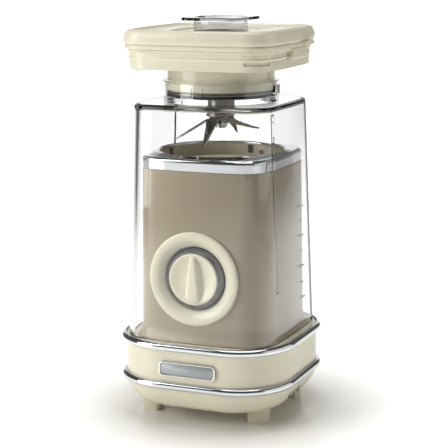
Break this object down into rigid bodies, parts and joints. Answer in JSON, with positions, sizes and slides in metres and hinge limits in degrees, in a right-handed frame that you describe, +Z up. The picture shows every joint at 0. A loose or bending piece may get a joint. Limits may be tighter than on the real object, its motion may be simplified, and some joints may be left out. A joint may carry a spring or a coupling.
{
  "type": "countertop blender",
  "caption": "Countertop blender in its storage stack: clear square jar mouth-down over the motor tower, blade unit in its neck, lid and measuring cap on top.",
  "frame": {"origin": "on the table, under the middle of the four feet", "axes": "+Z up along the motor shaft and the stack, -Y out of the face with the knob, +X to the right of someone facing the knob"},
  "size_m": [0.142, 0.142, 0.3054],
  "materials": {
    "cream_plastic": "glossy moulded",
    "taupe_enamel": "gloss painted",
    "chrome_trim": "polished",
    "satin_badge": "satin",
    "rubber": "matte",
    "cream_foot": "soft moulded",
    "steel": "turned",
    "blade_steel": "ground",
    "cast_alloy": "cast",
    "core_iron": "laminated",
    "winding_copper": "varnished winding",
    "brass": "turned",
    "dark_plastic": "satin moulded",
    "clear_jar": "clear moulded",
    "clear_cap": "clear smoky moulded"
  },
  "bodies": {
    "base": {"bottom_tray": "cream_plastic", "base_shell": "cream_plastic", "trim_band_lower": "chrome_trim", "trim_band_upper": "chrome_trim", "badge_plate": "satin_badge", "cable_grommet": "rubber", "foot_1": "cream_foot", "foot_2": "cream_foot", "foot_3": "cream_foot", "foot_4": "cream_foot", "tray_screw_1": "steel", "tray_screw_2": "steel", "tray_screw_3": "steel", "tray_screw_4": "steel", "motor_tower": "taupe_enamel", "top_ring": "chrome_trim", "well_cup": "taupe_enamel", "drive_pedestal": "cream_plastic", "lower_bracket": "cast_alloy", "upper_bracket": "cast_alloy", "lower_bearing": "steel", "upper_bearing": "steel", "stator_core": "core_iron", "field_coil_upper": "winding_copper", "field_coil_lower": "winding_copper", "brush_left": "dark_plastic", "brush_right": "dark_plastic", "tie_bolt_1": "steel", "tie_bolt_2": "steel", "knob_bezel": "cream_plastic", "rotary_switch": "dark_plastic", "interlock_switch": "dark_plastic"},
    "rotor": {"armature": "core_iron", "commutator": "winding_copper", "motor_shaft": "steel", "cooling_fan": "dark_plastic", "drive_coupling": "dark_plastic"},
    "dial": {"knob": "cream_plastic", "knob_ring": "chrome_trim", "knob_spindle": "brass"},
    "interlock": {"interlock_pin": "dark_plastic"},
    "jar_body": {"jar": "clear_jar"},
    "blade_unit": {"blade_carrier": "blade_steel", "collar_seal": "rubber", "column_nut": "steel", "blade_bush": "brass"},
    "collar": {"blade_collar": "cream_plastic"},
    "blades": {"blade_shaft": "steel", "blade_boss": "blade_steel", "blade_strip_upper": "blade_steel", "blade_strip_lower": "blade_steel", "blade_nut": "blade_steel", "driven_coupling": "dark_plastic"},
    "lid_body": {"lid": "cream_plastic", "lid_gasket": "cream_foot"},
    "cap": {"measuring_cap": "clear_cap"}
  },
  "joints": [
    {"name": "motor_spin", "type": "hinge", "parent": "base", "child": "rotor", "pos_m": [0, 0, 0.1], "axis": [0, 0, 1], "continuous": true},
    {"name": "knob_turn", "type": "hinge", "parent": "base", "child": "dial", "pos_m": [0, -0.05, 0.112], "axis": [0, 1, 0], "range_deg": [-45, 90]},
    {"name": "interlock_press", "type": "slide", "parent": "base", "child": "interlock", "axis": [0, 0, -1], "range_m": [0, 0.003], "stiffness_N_per_m": 150, "springref_m": -0.002},
    {"name": "jar_lift", "type": "slide", "parent": "base", "child": "jar_body", "axis": [0, 0, 1], "range_m": [0, 0.16]},
    {"name": "blade_unit_lift", "type": "slide", "parent": "jar_body", "child": "blade_unit", "axis": [0, 0, 1], "range_m": [0, 0.06]},
    {"name": "collar_turn", "type": "hinge", "parent": "blade_unit", "child": "collar", "pos_m": [0, 0, 0.26], "axis": [0, 0, 1], "range_deg": [0, 35]},
    {"name": "blade_spin", "type": "hinge", "parent": "blade_unit", "child": "blades", "pos_m": [0, 0, 0.24], "axis": [0, 0, 1], "continuous": true},
    {"name": "lid_lift", "type": "slide", "parent": "blade_unit", "child": "lid_body", "axis": [0, 0, 1], "range_m": [0, 0.05]},
    {"name": "cap_lift", "type": "slide", "parent": "lid_body", "child": "cap", "axis": [0, 0, 1], "range_m": [0, 0.04]}
  ]
}
